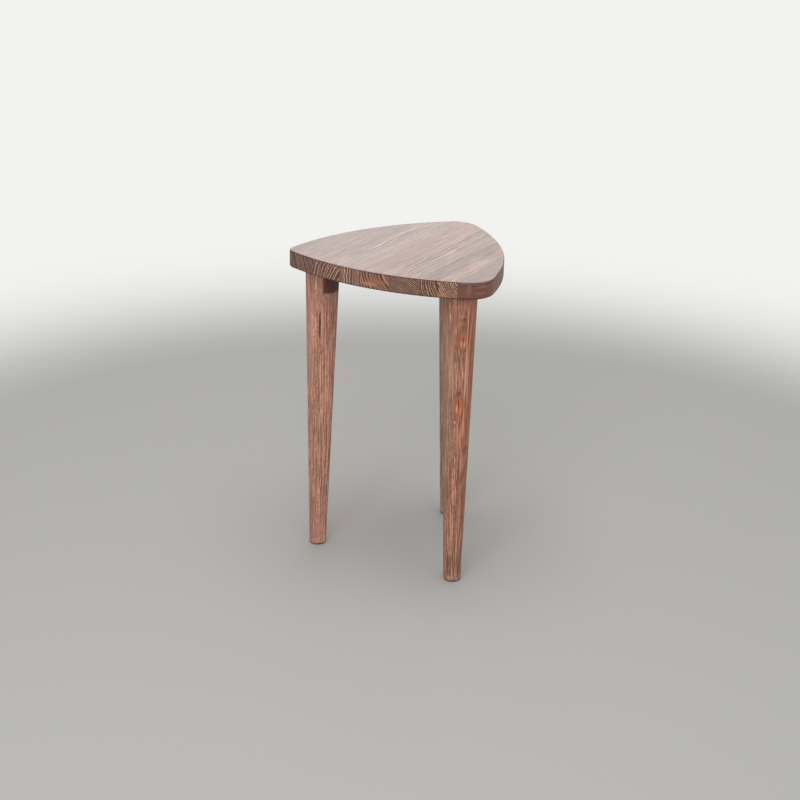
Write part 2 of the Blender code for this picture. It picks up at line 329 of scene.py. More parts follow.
def rim_profile():
    """The rim from the upper face round to the lower: (outward reach, height, rise of the surface)."""
    turns = [math.pi / 2 * i / ROUND_STEPS for i in range(ROUND_STEPS + 1)]
    upper = [(math.sin(t), top_face - TOP_EDGE_ROUND * (1 - math.cos(t)), math.cos(t)) for t in turns]
    straight = top_face - underside - 2 * TOP_EDGE_ROUND
    steps = round(straight / EDGE_STEP)
    middle = [(1.0, top_face - TOP_EDGE_ROUND - straight * i / steps, 0.0) for i in range(1, steps)]
    lower = [(s, underside + top_face - z, -c) for s, z, c in reversed(upper)]
    return upper + middle + lower


def rim_sheet(xs, line, side, glued):
    """Rim places and surface directions, one row per profile step and one column per x."""
    ys, out_x, out_y = at_x(line, xs)
    # Near a glue line the rounding slides along it, so that the cut stays straight
    to_glue = np.min([abs(xs - x) for x in glued], axis=0)
    share = np.clip(1 - to_glue / GLUE_LINE_REACH, 0, 1)
    share = share * share * (3 - 2 * share)
    slide_x = out_x * (1 - share)
    slide_y = out_y * (1 - share) + side * share
    length = np.hypot(slide_x, slide_y)
    slide_x, slide_y = slide_x / length, slide_y / length
    gain = TOP_EDGE_ROUND / (slide_x * out_x + slide_y * out_y)
    rows, directions = [], []
    for out, height, rise in rim_profile():
        level = np.full_like(xs, height)
        rows.append(np.stack((xs + slide_x * gain * out, ys + slide_y * gain * out, level), axis=1))
        directions.append(np.stack((slide_x * out, slide_y * out, np.full_like(xs, rise)), axis=1))
    return np.array(rows), np.array(directions)


def sheet_faces(first, rows, columns):
    """Quads of a sheet of vertices that starts at a given index."""
    index = first + np.arange(rows * columns).reshape(rows, columns)
    quads = np.stack((index[:-1, :-1], index[:-1, 1:], index[1:, 1:], index[1:, :-1]), axis=-1)
    return quads.reshape(-1, 4).tolist()


def weld(mesh):
    """Join the points of a mesh that meet and turn its faces outward."""
    bm = bmesh.new()
    bm.from_mesh(mesh)
    bmesh.ops.remove_doubles(bm, verts=bm.verts, dist=MERGE)
    bmesh.ops.recalc_face_normals(bm, faces=bm.faces)
    bm.to_mesh(mesh)
    bm.free()


def stave_mesh(name, left, right):
    """One stave between two glue lines: both faces, the rim at each end and the sawn sides."""
    start = max(left, front_line[0, 0])
    end = min(right, front_line[-1, 0])
    glued = [x for x in (left, right) if start <= x <= end]
    run = np.concatenate(([0], np.cumsum(np.hypot(*np.diff(front_line[:, :2], axis=0).T))))
    span = np.interp((start, end), front_line[:, 0], run)
    columns = math.ceil((span[1] - span[0]) / COLUMN_STEP) + 1
    xs = np.interp(np.linspace(*span, columns), run, front_line[:, 0])
    front_y, back_y = at_x(front_line, xs)[0], at_x(back_line, xs)[0]
    rows = math.ceil(float(np.max(back_y - front_y)) / ROW_STEP) + 1
    shares = np.linspace(0, 1, rows)[:, None]
    ys = front_y + (back_y - front_y) * shares
    sheets = []
    for height, rise in ((top_face, 1.0), (underside, -1.0)):
        face = np.stack((np.broadcast_to(xs, ys.shape), ys, np.full_like(ys, height)), axis=-1)
        sheets.append((face, np.broadcast_to((0.0, 0.0, rise), face.shape)))
    sheets.append(rim_sheet(xs, front_line, -1, glued))
    sheets.append(rim_sheet(xs, back_line, 1, glued))
    for x in glued:
        column = 0 if x == start else -1
        pair = np.stack([sheets[k][0][:, column] for k in (0, 1)])
        facing = np.stack([sheets[k][1][:, column] for k in (0, 1)])
        sheets.append((pair, facing))
    verts, directions, faces = [], [], []
    for sheet, facing in sheets:
        faces += sheet_faces(len(verts), *sheet.shape[:2])
        verts += sheet.reshape(-1, 3).tolist()
        directions += facing.reshape(-1, 3).tolist()
    for x in glued:
        column = 0 if x == start else -1
        for sheet, facing in sheets[2:4]:
            faces.append(list(range(len(verts), len(verts) + len(sheet))))
            verts += sheet[:, column].tolist()
            directions += facing[:, column].tolist()
    mesh = bpy.data.meshes.new(name)
    mesh.from_pydata(verts, [], faces)
    facing = mesh.attributes.new("surface_direction", "FLOAT_VECTOR", "POINT")
    facing.data.foreach_set("vector", np.array(directions, np.float32).ravel())
    weld(mesh)
    return mesh


def marks_from(rows):
    """Marks as named values, from rows of their place, size, colour, amount and any options."""
    keys = ("place", "size", "colour", "amount")
    return [{**dict(zip(keys, row)), **(row[len(keys)] if len(row) > len(keys) else {})} for row in rows]


def grain_turn(wood):
    """The turn that brings a piece's grain along Y."""
    return Vector(wood["grain"]).rotation_difference(Vector((0, 1, 0)))


def in_grain(tree, place, wood):
    """Places in mm seen along the grain: across, along and through the piece, from its centre."""
    millimetres = add_node(tree, "ShaderNodeVectorMath", {0: place, "Scale": PER_METRE}, "SCALE")
    centred = add_node(tree, "ShaderNodeVectorMath", (millimetres, wood["centre"]), "SUBTRACT")
    return add_node(tree, "ShaderNodeVectorRotate",
                    {"Vector": centred, "Rotation": grain_turn(wood).to_euler()}, rotation_type="EULER_XYZ")


def streaks(tree, grain, wood, width, length, detail):
    """Noise drawn out along the grain, with streaks of a given width and length in mm."""
    scale = (1 / width, 1 / length, 1 / width)
    squeezed = add_node(tree, "ShaderNodeVectorMath", (grain, scale), "MULTIPLY")
    return add_node(tree, "ShaderNodeTexNoise",
                    {"Vector": squeezed, "W": wood["seed"], "Scale": 1.0, "Detail": detail,
                     "Roughness": PATTERN_ROUGHNESS}, noise_dimensions="4D")


def shifted(tree, places, pattern, reach):
    """Places moved about by a pattern, half of a reach in mm to each side."""
    shift = add_node(tree, "ShaderNodeVectorMath", (pattern.outputs["Color"], PATTERN_MIDDLE), "SUBTRACT")
    return add_node(tree, "ShaderNodeVectorMath", (shift, reach, places), "MULTIPLY_ADD")


def reach_to(tree, grain, wood, mark):
    """Distance from a mark's middle as a share of its half width, half length and half depth."""
    middle = grain_turn(wood) @ (Vector(mark["place"]) - Vector(wood["centre"]))
    offset = add_node(tree, "ShaderNodeVectorMath", (grain, middle), "SUBTRACT")
    if "facing" in mark:
        outward = grain_turn(wood) @ Vector((*around(math.radians(mark["facing"]), 1), 0))
        outward.y = 0
        inward_turn = outward.rotation_difference(Vector((0, 0, 1))).to_euler()
        offset = add_node(tree, "ShaderNodeVectorRotate", {"Vector": offset, "Rotation": inward_turn},
                          rotation_type="EULER_XYZ")
    scaled = add_node(tree, "ShaderNodeVectorMath", (offset, mark["size"]), "DIVIDE")
    if mark.get("square"):
        sides = add_node(tree, "ShaderNodeVectorMath", (scaled,), "ABSOLUTE")
        parts = add_node(tree, "ShaderNodeSeparateXYZ", (sides,)).outputs
        widest = add_node(tree, "ShaderNodeMath", (parts["X"], parts["Y"]), "MAXIMUM")
        return add_node(tree, "ShaderNodeMath", (widest, parts["Z"]), "MAXIMUM")
    return add_node(tree, "ShaderNodeVectorMath", (scaled,), "LENGTH")


def growth_rings(tree, grain, wood):
    """Late wood from 0 to 1, and a tone for each ring, from rings round the heart that part round knots."""
    moved = grain
    for pattern, reach in ((WANDER, WANDER_REACH), (WAVER, wood["waver"])):
        moved = shifted(tree, moved, streaks(tree, grain, wood, *pattern), (reach, 0.0, reach))
    heart = (wood["heart"][0], 0.0, wood["heart"][1])
    from_heart = add_node(tree, "ShaderNodeVectorMath", (moved, heart), "SUBTRACT")
    flat = add_node(tree, "ShaderNodeVectorMath", (from_heart, (1.0, 0.0, 1.0)), "MULTIPLY")
    radius = add_node(tree, "ShaderNodeVectorMath", (flat,), "LENGTH")
    for mark in wood["marks"]:
        if "push" in mark:
            reach = reach_to(tree, grain, wood, mark)
            bulge = add_node(tree, "ShaderNodeMapRange", (reach, 0.0, PUSH_REACH, mark["push"], 0.0),
                             **SMOOTH)
            radius = add_node(tree, "ShaderNodeMath", (radius, bulge), "ADD")
    years = add_node(tree, "ShaderNodeMath", (radius, 1 / WEATHER_SPAN, wood["seed"]), "MULTIPLY_ADD")
    weather = add_node(tree, "ShaderNodeTexNoise", {"W": years, "Detail": WEATHER_DETAIL, "Scale": 1.0},
                       noise_dimensions="1D")
    rings = add_node(tree, "ShaderNodeMath", (radius, wood["spacing"]), "DIVIDE")
    uneven = add_node(tree, "ShaderNodeMath", (weather, WEATHER_SHIFT, rings), "MULTIPLY_ADD")
    ring = add_node(tree, "ShaderNodeMath", (uneven,), "FRACT")
    rise = add_node(tree, "ShaderNodeMapRange", (ring, *LATE_RISE, 0.0, 1.0), **SMOOTH)
    fall = add_node(tree, "ShaderNodeMapRange", (ring, *LATE_FALL, 1.0, 0.0), **SMOOTH)
    late = add_node(tree, "ShaderNodeMath", (rise, fall), "MULTIPLY")
    number = add_node(tree, "ShaderNodeMath", (uneven,), "FLOOR")
    tone = add_node(tree, "ShaderNodeTexWhiteNoise", {"W": number}, noise_dimensions="1D")
    return late, tone.outputs["Value"]


def new_tree(name, inputs):
    """A Geometry Nodes tree that takes a geometry, further named inputs and a material, with its inputs."""
    tree = bpy.data.node_groups.new(name, "GeometryNodeTree")
    for input_name, kind in {"Geometry": "Geometry", **inputs, "Material": "Material"}.items():
        tree.interface.new_socket(input_name, in_out="INPUT", socket_type="NodeSocket" + kind)
    tree.interface.new_socket("Geometry", in_out="OUTPUT", socket_type="NodeSocketGeometry")
    return tree, add_node(tree, "NodeGroupInput").outputs


def brushed(tree, geometry, given, wood):
    """Sink shallow grooves along the grain and open checks, as a wire brush leaves them."""
    grain = in_grain(tree, add_node(tree, "GeometryNodeInputPosition"), wood)
    torn = streaks(tree, grain, wood, *GROOVES)
    groove = add_node(tree, "ShaderNodeMapRange", (torn, *GROOVED, 0.0, 1.0), **SMOOTH)
    sunk = add_node(tree, "ShaderNodeMath", (groove, given["Brush Depth"]), "MULTIPLY")
    for mark in wood["marks"]:
        if "depth" in mark:
            reach = reach_to(tree, grain, wood, mark)
            gap = add_node(tree, "ShaderNodeMapRange", (reach, *CHECK_SIDES, 0.0, mark["depth"] * MM),
                           **SMOOTH)
            sunk = add_node(tree, "ShaderNodeMath", (sunk, gap), "ADD")
    inward = add_node(tree, "ShaderNodeMath", (sunk, -1.0), "MULTIPLY")
    facing = add_node(tree, "GeometryNodeInputNamedAttribute", {"Name": "surface_direction"},
                      data_type="FLOAT_VECTOR")
    offset = add_node(tree, "ShaderNodeVectorMath", {0: facing, "Scale": inward}, "SCALE")
    return add_node(tree, "GeometryNodeSetPosition", {"Geometry": geometry, "Offset": offset})


def finish_tree(tree, geometry, given):
    """End a tree: real geometry with its material."""
    real = add_node(tree, "GeometryNodeRealizeInstances", {"Geometry": geometry})
    finished = add_node(tree, "GeometryNodeSetMaterial", {"Geometry": real, "Material": given["Material"]})
    add_node(tree, "NodeGroupOutput", {"Geometry": finished})
    return tree


def bored(tree, geometry, seat):
    """Bore the underside for an insert: a wide shallow recess for its flange and a deep hole for its body."""
    for radius, depth in INSERT_BORES:
        drill = add_node(tree, "GeometryNodeMeshCylinder", {"Vertices": BORE_SIDES, "Radius": radius,
                                                            "Depth": depth + DRILL_START})
        middle = underside + (depth - DRILL_START) / 2
        placed = add_node(tree, "GeometryNodeTransform",
                          {"Geometry": drill.outputs["Mesh"], "Translation": (*seat, middle)})
        geometry = add_node(tree, "GeometryNodeMeshBoolean", {"Mesh 1": geometry, "Mesh 2": placed},
                            "DIFFERENCE", solver="MANIFOLD")
    return geometry


def brushed_tree(name, wood, bores):
    """Brush a piece whose surface directions are stored on it, then bore it."""
    tree, given = new_tree(name, {"Brush Depth": "Float"})
    geometry = brushed(tree, given["Geometry"], given, wood)
    for seat in bores:
        geometry = bored(tree, geometry, seat)
    return finish_tree(tree, geometry, given)


def add_piece(name, mesh):
    """A new object at the origin for a piece whose place is in its mesh."""
    piece = bpy.data.objects.new(name, mesh)
    bpy.context.scene.collection.objects.link(piece)
    return piece


def make_plain(piece):
    """Keep the result of a piece's modifiers as a plain closed mesh with its faces outward."""
    bpy.context.view_layer.update()
    evaluated = piece.evaluated_get(bpy.context.evaluated_depsgraph_get())
    mesh = bpy.data.meshes.new_from_object(evaluated)
    mesh.name = piece.name
    piece.modifiers.clear()
    old = piece.data
    piece.data = mesh
    bpy.data.meshes.remove(old)
    weld(mesh)
    mesh.shade_smooth()
    mesh.set_sharp_from_angle(angle=SMOOTH_ANGLE)


def run_tree(piece, tree, inputs):
    """Run a Geometry Nodes tree on a piece with its named inputs and keep the result."""
    modifier = piece.modifiers.new(tree.name, "NODES")
    modifier.node_group = tree
    for item in tree.interface.items_tree:
        if item.in_out == "INPUT" and item.name in inputs:
            modifier[item.identifier] = inputs[item.name]
    make_plain(piece)


def stained_fir(name, wood):
    """Brushed and stained fir under satin oil: pale hard rings on a darker ground that drank the stain.

    The sheen is soft and shows most at a low angle, end grain is darker, pores are fine dark dashes.
    """
    material, tree, coordinates = new_material(name)
    grain = in_grain(tree, coordinates["Object"], wood)
    late, tone = growth_rings(tree, grain, wood)
    normal_parts = add_node(tree, "ShaderNodeSeparateXYZ", (coordinates["Normal"],)).outputs
    end_on = add_node(tree, "ShaderNodeMath", (normal_parts[wood["end_axis"]],), "ABSOLUTE")
    end_grain = add_node(tree, "ShaderNodeMapRange", (end_on, *END_GRAIN, 0.0, 1.0), **SMOOTH)
    upward = normal_parts["Z"]
    tilt = add_node(tree, "ShaderNodeMath", (upward,), "ABSOLUTE")
    rim = add_node(tree, "ShaderNodeMapRange", (tilt, *RIM, 0.0, 1.0), **SMOOTH)

    # Rings, stronger on the end grain than on the face
    contrast = add_node(tree, "ShaderNodeMapRange", (tone, 0.0, 1.0, FAINTEST_RING, 1.0))
    figure = add_node(tree, "ShaderNodeMapRange", (end_grain, 0.0, 1.0, wood["figure"], wood["end_figure"]))
    lit = add_node(tree, "ShaderNodeMath", (late, contrast), "MULTIPLY")
    lit = add_node(tree, "ShaderNodeMath", (lit, figure), "MULTIPLY")
    tones = []
    for key, share in zip(("soft", "hard"), wood["rim_shares"]):
        on_face = linear_colour(wood[key])
        on_rim = tuple(np.multiply(on_face, share) * wood["rim_tone"])
        tones.append(add_node(tree, "ShaderNodeMix", (rim, on_face, on_rim), data_type="RGBA"))
    ground = add_node(tree, "ShaderNodeMix", (lit, *tones), data_type="RGBA")

    # Bands, streaks, dark lines, flecks and pores, each as a share of the colour
    fibre = streaks(tree, grain, wood, *FIBRES)
    shade = 1.0
    for pattern, used, darker, lighter, measure in STAIN_LAYERS:
        layer = fibre if pattern is FIBRES else streaks(tree, grain, wood, *pattern)
        span = (1 - darker * wood[measure], 1 + lighter * wood[measure])
        share = add_node(tree, "ShaderNodeMapRange", (layer, *used, *span), **SMOOTH)
        shade = add_node(tree, "ShaderNodeMath", (shade, share), "MULTIPLY")
    colour = add_node(tree, "ShaderNodeVectorMath", {0: ground, "Scale": shade}, "SCALE")
    warmth = add_node(tree, "ShaderNodeMapRange", (streaks(tree, grain, wood, *CASTS), *CAST, 0.0, 1.0))
    cast = add_node(tree, "ShaderNodeMix", (warmth, REDDER, GREYER), data_type="RGBA")
    colour = add_node(tree, "ShaderNodeVectorMath", (colour, cast), "MULTIPLY")

    # Knots, tinted patches and checks
    frayed = shifted(tree, grain, fibre, FRAYED_EDGE)
    blotched = shifted(tree, frayed, streaks(tree, grain, wood, *BLOTS), BLOTCHED_EDGE)
    for mark in wood["marks"]:
        edged = frayed if mark["size"][0] < THIN_MARK or "crisp" in mark else blotched
        edge = (reach_to(tree, edged, wood, mark), MARK_REACH, mark.get("core", MARK_CORE))
        near = add_node(tree, "ShaderNodeMapRange", (*edge, 0.0, mark["amount"]), **SMOOTH)
        colour = add_node(tree, "ShaderNodeMix", (near, colour, linear_colour(mark["colour"])),
                          data_type="RGBA")

    # Painted shade on faces that look down, a darker arris, and a painted highlight on the edge above it
    below = add_node(tree, "ShaderNodeMapRange", (upward, *BELOW, UNDERSIDE_PAINTED_SHADE, 1.0))
    colour = add_node(tree, "ShaderNodeVectorMath", {0: colour, "Scale": below}, "SCALE")
    arris_darkening = add_node(tree, "ShaderNodeMapRange", (upward, *ARRIS_FOOT, 1.0, wood["arris"]), **SMOOTH)
    arris_darkening = add_node(tree, "ShaderNodeMapRange", (upward, *ARRIS_HEAD, arris_darkening, 1.0), **SMOOTH)
    colour = add_node(tree, "ShaderNodeVectorMath", {0: colour, "Scale": arris_darkening}, "SCALE")
    # Painted highlight: a pale line on the rounding just under the top face
    painted_highlight = add_node(tree, "ShaderNodeMapRange", (upward, *HIGHLIGHT_FOOT, 0.0, wood["painted_highlight"]), **SMOOTH)
    painted_highlight = add_node(tree, "ShaderNodeMapRange", (upward, *HIGHLIGHT_HEAD, painted_highlight, 0.0), **SMOOTH)
    colour = add_node(tree, "ShaderNodeMix", (painted_highlight, colour, linear_colour(ARRIS_HIGHLIGHT_PAINT)), data_type="RGBA")

    # Oil lies on the flat faces, less of it below, and soaks into the rims, which stay dull
    oiled = add_node(tree, "ShaderNodeMapRange", (rim, 0.0, 1.0, wood["satin"], wood["rim_satin"]))
    oiled = add_node(tree, "ShaderNodeMath", (oiled, below), "MULTIPLY")
    dull = add_node(tree, "ShaderNodeMapRange", (rim, 0.0, 1.0, 0.0, wood["rim_dull"]))
    rough = add_node(tree, "ShaderNodeMapRange", (fibre, *FIBROUS, *ROUGHNESS))
    rough = add_node(tree, "ShaderNodeMath", (rough, dull), "ADD")
    ridge = add_node(tree, "ShaderNodeMath", (late, RELIEF), "MULTIPLY")
    height = add_node(tree, "ShaderNodeMath", (fibre, RELIEF, ridge), "MULTIPLY_ADD")
    bump = add_node(tree, "ShaderNodeBump", {"Height": height, "Distance": MM, "Strength": RELIEF_STRENGTH})
    set_surface(tree, {"Base Color": colour, "Roughness": rough, "Coat Weight": oiled, "Normal": bump,
                       "IOR": OIL_IOR, "Coat Roughness": OIL_ROUGHNESS})
    return material


stave_nodes = [f"top_stave_{number}" for number in range(1, len(STAVE_WOODS) + 1)]
boxes = [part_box(node) for node in stave_nodes]
glue_lines = [(before[1].x + after[0].x) / 2 for before, after in zip(boxes, boxes[1:])]
lefts = [boxes[0][0].x - GLUE_LINE] + [x + GLUE_LINE / 2 for x in glue_lines]
rights = [x - GLUE_LINE / 2 for x in glue_lines] + [boxes[-1][1].x + GLUE_LINE]
for number, (node, left, right, fir) in enumerate(zip(stave_nodes, lefts, rights, STAVE_WOODS), 1):
    run_x, run_z = fir["run_out"]
    wood = {**TOP_FINISH, **fir, "grain": (run_x, 1.0, run_z), "marks": marks_from(fir["marks"])}
    stave = add_piece(f"stave_{number}", stave_mesh(node + "_surface", left, right))
    material = stained_fir(f"Brushed stained fir, stave {number}", wood)
    bores = [seat for seat in seats.values() if left < seat[0] < right]
    run_tree(stave, brushed_tree(f"Brushed stave {number}", wood, bores),
             {"Brush Depth": TOP_BRUSH_DEPTH, "Material": material})
    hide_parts(node)
    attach(stave, "root")


# Legs
# Three cones turned from fir, each splayed a little and cut level at both ends, with the foot's edge
# rounded over. They are brushed and stained as the top is and thinly oiled. A hanger bolt in a bore holds
# each head.

LEG_HEAD_RADIUS = 0.02575
LEG_FOOT_RADIUS = 0.013
LEG_SPLAY = math.radians(0.65)
LEG_SIDES = 288
LEG_STEP = 0.0026
LEG_FOOT_ROUND = 0.003
LEG_HEAD_EASE = 0.0006
BORE_RADIUS = 0.0043
BORE_DEPTH = 0.0363
LEG_BRUSH_DEPTH = 0.00018
SPIN_RADIUS = 0.001
MARK_DEPTH = 5.0

LEG_FINISH = {**TOP_FINISH, "end_axis": "Z", "satin": 0.35, "rim_shares": ((1.0,) * 4,) * 2, "painted_highlight": 0.0,
              "waver": 3.5, "flecks": 1.5, "figure": 0.5}
# Each leg's wood; the heart is (across, behind) in mm from the leg's axis. A mark on a leg gives its turn
# round the leg in degrees, its height, half width and half length in mm, its colour and its amount. Its
# options are those of a stave's mark, a square shape, and how deep in mm a check is open
LEG_WOODS = {
    "left": {"heart": (-62, 34), "spacing": 2.6, "run_out": (0.004, -0.003), "streaky": 1.3, "seed": 33.1,
             "soft": "#a8755f", "hard": "#e8b39d", "marks": (
                 (-112, 330, 7.0, 120, "#94755c", 0.35), (-9, 375, 6.0, 30, "#80595a", 0.35),
                 # Painted shadow: this dark square block on the head's right side is the shadow the top casts
                 # on the leg
                 (-10, 448, 17.5, 29, "#4a2114", 0.92, {"core": 0.95, "square": True, "crisp": True}),
                 (-72, 372, 3.5, 3, "#c49a80", 0.5), (-57, 375, 1.5, 36, "#cf9e86", 0.8),
                 (-64, 368, 1.2, 26, "#2c160d", 0.95, {"core": 0.5, "depth": 1.2}),
                 (-60, 290, 1.3, 34, "#cf9e86", 0.75), (-66, 250, 2.5, 10, "#84523d", 0.4),
                 (-52, 250, 3.6, 8, "#c8957d", 0.55, {"push": 1.5}),
                 (-58, 165, 1.2, 55, "#cf9e86", 0.7), (-48, 165, 0.9, 45, "#7e4837", 0.65),
                 (-38, 165, 1.1, 55, "#cf9e86", 0.7), (-24, 165, 1.1, 55, "#7e4837", 0.7),
                 (-64, 182, 3.0, 22, "#7b4b37", 0.45), (-117, 139, 1.5, 5, "#5c3a30", 0.8),
                 (-60, 6, 30.0, 3, "#c9a48c", 0.3))},
    "right": {"heart": (-70, -28), "spacing": 2.8, "run_out": (0.002, 0.004), "streaky": 1.4, "seed": 41.7,
              "soft": "#96654e", "hard": "#dba289", "marks": (
                  # Painted light: the grey band on the left side stands in for a pale reflection, the red
                  # band on the right for the side without it
                  (-112, 300, 12.0, 400, "#857060", 0.45), (-16, 300, 12.0, 400, "#9a563b", 0.4),
                  (-106, 436, 4.0, 15, "#65533f", 0.6), (-94, 424, 1.2, 7, "#c9a488", 0.8),
                  (-76, 424, 4.5, 28, "#94543c", 0.5), (-84, 390, 5.0, 20, "#a67561", 0.5),
                  (-38, 415, 0.8, 26, "#6c3625", 0.6), (-30, 415, 1.0, 34, "#cf8f6c", 0.9),
                  (-22, 415, 0.9, 34, "#6c3625", 0.75), (-14, 415, 0.9, 34, "#cf8f6c", 0.8),
                  (-44, 422, 2.0, 3.2, "#54271a", 0.95), (-60, 389, 0.8, 9, "#6a4630", 0.7),
                  (-48, 389, 12.0, 24, "#643726", 0.6),
                  (-48, 389, 9.0, 17, "#bb6844", 0.75, {"push": 2.5, "crisp": True}),
                  (-42, 383, 1.0, 6, "#dc9c76", 0.8), (-58, 392, 1.0, 5, "#7b3f27", 0.7),
                  (-46, 391, 1.6, 6, "#5a2c18", 0.85), (-52, 384, 0.9, 7, "#e0a27c", 0.8),
                  (-45, 365, 2.2, 0.9, "#e3bf95", 0.8), (-85, 340, 6.0, 38, "#c09078", 0.45),
                  (-52, 345, 2.8, 36, "#80563f", 0.45), (-32, 340, 1.2, 125, "#dbab92", 0.75),
                  (-27, 340, 0.9, 110, "#5f3122", 0.65),
                  (-20, 350, 1.2, 105, "#d6a085", 0.65), (-12, 350, 0.9, 100, "#693726", 0.5),
                  (-27, 345, 1.8, 50, "#cf937a", 0.8),
                  (-16, 340, 0.8, 45, "#6c3625", 0.65), (6, 335, 4.0, 60, "#8b4430", 0.5),
                  (-56, 290, 12.5, 32, "#5e3424", 0.6),
                  (-56, 287, 9.4, 22, "#b96842", 0.75, {"push": 3.0, "crisp": True}),
                  (-47, 280, 1.1, 8, "#dc9c76", 0.75), (-66, 292, 1.0, 8, "#7b3f27", 0.7),
                  (-56, 290, 1.2, 13, "#6a3018", 0.95), (-62, 284, 1.0, 10, "#e0a27c", 0.8),
                  (-56, 309, 3.5, 6, "#4e2d1f", 0.65), (-72, 266, 3.0, 8, "#75452f", 0.4),
                  (-68, 263, 1.2, 2, "#e0b79b", 0.9), (-49, 257, 1.3, 10, "#602a13", 0.95),
                  (-33, 257, 2.0, 26, "#ce9478", 0.8), (-54, 235, 3.6, 9, "#c46f50", 0.7),
                  (-18, 218, 2.6, 10, "#6e3b28", 0.55), (0, 218, 1.5, 3, "#38190f", 0.95),
                  (-37, 190, 1.5, 22, "#cc9377", 0.8), (-71, 163, 4.5, 5, "#b98469", 0.5, {"push": 2.5}),
                  (-53, 166, 0.9, 5, "#54261a", 0.9), (-100, 135, 0.9, 34, "#6d5f3e", 0.7),
                  (-60, 124.6, 1.2, 2, "#48241a", 0.95), (-31, 111, 1.2, 55, "#cc9377", 0.7),
                  (-42, 60, 1.0, 24, "#d9a98f", 0.8), (-34, 60, 0.9, 24, "#6f3122", 0.7),
                  (-75, 32, 2.0, 16, "#6c5a45", 0.65), (-60, 6, 30.0, 3, "#c9a48c", 0.3))},
    "back": {"heart": (54, -40), "spacing": 2.6, "run_out": (0.004, 0.003), "streaky": 1.3, "seed": 52.4,
             "soft": "#98715e", "hard": "#d5a794", "marks": (
                 (112, 350, 4.0, 10, "#9a6047", 0.6, {"push": 1.5}), (60, 300, 1.3, 60, "#cf9e86", 0.7),
                 (88, 210, 4.5, 12, "#a86a4e", 0.6, {"push": 1.5}), (100, 160, 1.2, 50, "#7e4837", 0.7),
                 (90, 6, 30.0, 3, "#c9a48c", 0.3))},
}


def drawn_out(ends, step):
    """A line of points through given ends, none further apart than a step."""
    points = [ends[0]]
    for start, end in zip(ends, ends[1:]):
        parts = max(1, math.ceil(math.dist(start[:2], end[:2]) / step))
        points += [tuple(a + (b - a) * k / parts for a, b in zip(start, end)) for k in range(1, parts + 1)]
    return points


def profile_mesh(name, profile, stored=()):
    """A chain of edges through points of (radius, height, further values to store on the points)."""
    mesh = bpy.data.meshes.new(name)
    closed = profile[0] == profile[-1]
    points = profile[:-1] if closed else profile
    edges = [(i, i + 1) for i in range(len(points) - 1)] + ([(len(points) - 1, 0)] if closed else [])
    mesh.from_pydata([(point[0] - SPIN_RADIUS, -point[1], 0.0) for point in points], edges, [])
    for k, key in enumerate(stored):
        values = mesh.attributes.new(key, "FLOAT", "POINT")
        values.data.foreach_set("value", [point[k + 2] for point in points])
    return mesh


def spun(tree, given):
    """The given profile spun round the upright axis."""
    chain = add_node(tree, "GeometryNodeMeshToCurve", (given["Geometry"],))
    path = add_node(tree, "GeometryNodeCurvePrimitiveCircle",
                    {"Resolution": given["Sides"], "Radius": SPIN_RADIUS})
    return add_node(tree, "GeometryNodeCurveToMesh", (path, chain))


def round_axis(tree):
    """A spun point's coordinates, its direction out from the axis and its distance from it."""
    place = add_node(tree, "GeometryNodeInputPosition")
    level = add_node(tree, "ShaderNodeVectorMath", (place, (1.0, 1.0, 0.0)), "MULTIPLY")
    outward = add_node(tree, "ShaderNodeVectorMath", (level,), "NORMALIZE")
    radius = add_node(tree, "ShaderNodeVectorMath", (level,), "LENGTH")
    return add_node(tree, "ShaderNodeSeparateXYZ", (place,)).outputs, outward, radius


def turned_leg_tree(name, wood):
    """Spin a leg's profile, lean it outward from its seat and brush it."""
    tree, given = new_tree(name, {"Sides": "Int", "Seat": "Vector", "Lean": "Vector", "Brush Depth": "Float"})
    parts, outward, radius = round_axis(tree)
    off_axis = add_node(tree, "ShaderNodeMath", (radius, SPIN_RADIUS), "GREATER_THAN")
    outward = add_node(tree, "ShaderNodeVectorMath", {0: outward, "Scale": off_axis}, "SCALE")
    leg = add_node(tree, "GeometryNodeStoreNamedAttribute",
                   {"Geometry": spun(tree, given), "Name": "surface_direction", "Value": outward},
                   data_type="FLOAT_VECTOR", domain="POINT")
    leant = add_node(tree, "ShaderNodeVectorMath", {0: given["Lean"], "Scale": parts["Z"]}, "SCALE")
    offset = add_node(tree, "ShaderNodeVectorMath", (leant, given["Seat"]), "ADD")
    stood = add_node(tree, "GeometryNodeSetPosition", {"Geometry": leg, "Offset": offset})
    return finish_tree(tree, brushed(tree, stood, given, wood), given)


def marks_on_leg(rows, seat, lean, top, taper):
    """Marks given by turn and height, put on a leg's surface and turned to face outward."""
    marks = []
    for turn, height, half_width, half_length, colour, amount, *options in rows:
        drop = top - height * MM
        axis = seat - lean * drop
        level = axis + around(math.radians(turn), LEG_HEAD_RADIUS - taper * drop)
        marks.append({
            "place": (*(level * PER_METRE), height), "facing": turn, "colour": colour, "amount": amount,
            "size": (half_width, half_length, max(half_width, MARK_DEPTH)), **(options[0] if options else {}),
        })
    return marks


